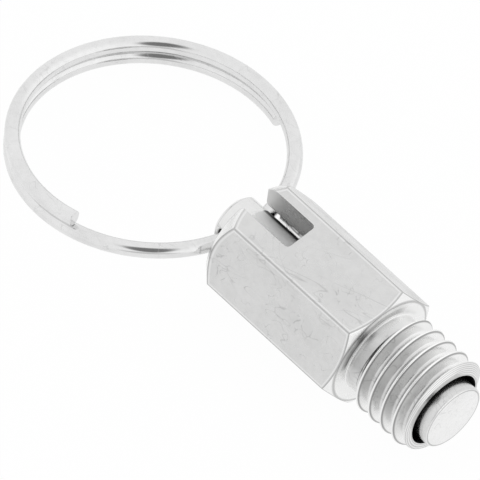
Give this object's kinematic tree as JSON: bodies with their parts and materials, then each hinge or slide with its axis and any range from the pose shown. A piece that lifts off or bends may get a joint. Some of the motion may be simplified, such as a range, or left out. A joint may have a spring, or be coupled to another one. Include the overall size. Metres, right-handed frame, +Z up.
{
  "type": "pull-ring locking bolt",
  "caption": "Hexagon-bodied locking bolt with a threaded nose; a sprung plunger is drawn back by a split ring, which parks across a slotted rear end.",
  "frame": {"origin": "the point where the shoulder's seat plane meets the thread's axis", "axes": "+X along the thread's axis and out of the nose; +Z up with the body lying on one flat; +Y to the side by the right hand"},
  "size_m": [0.0524, 0.0261, 0.0111],
  "materials": {
    "plated_steel": "satin nickel plate with fine handling marks",
    "turned_steel": "bright turned",
    "ring_wire": "polished",
    "spring_wire": "drawn wire"
  },
  "bodies": {
    "housing": {"body": "plated_steel"},
    "spring_seat": {"spring": "spring_wire"},
    "locking_pin": {"plunger": "turned_steel"},
    "pull_ring": {"ring": "ring_wire"}
  },
  "joints": [
    {"name": "plunger_turn", "type": "hinge", "parent": "housing", "child": "spring_seat", "pos_m": [0, 0, 0], "axis": [1, 0, 0], "continuous": true},
    {"name": "plunger_pull", "type": "slide", "parent": "spring_seat", "child": "locking_pin", "axis": [-1, 0, 0], "range_m": [0, 0.0025], "stiffness_N_per_m": 800, "springref_m": -0.012, "deforming": ["spring"]},
    {"name": "ring_swing", "type": "hinge", "parent": "locking_pin", "child": "pull_ring", "pos_m": [-0.01743, 0, 0], "axis": [0, 0.9823, -0.1874], "range_deg": [-45, 55]}
  ]
}
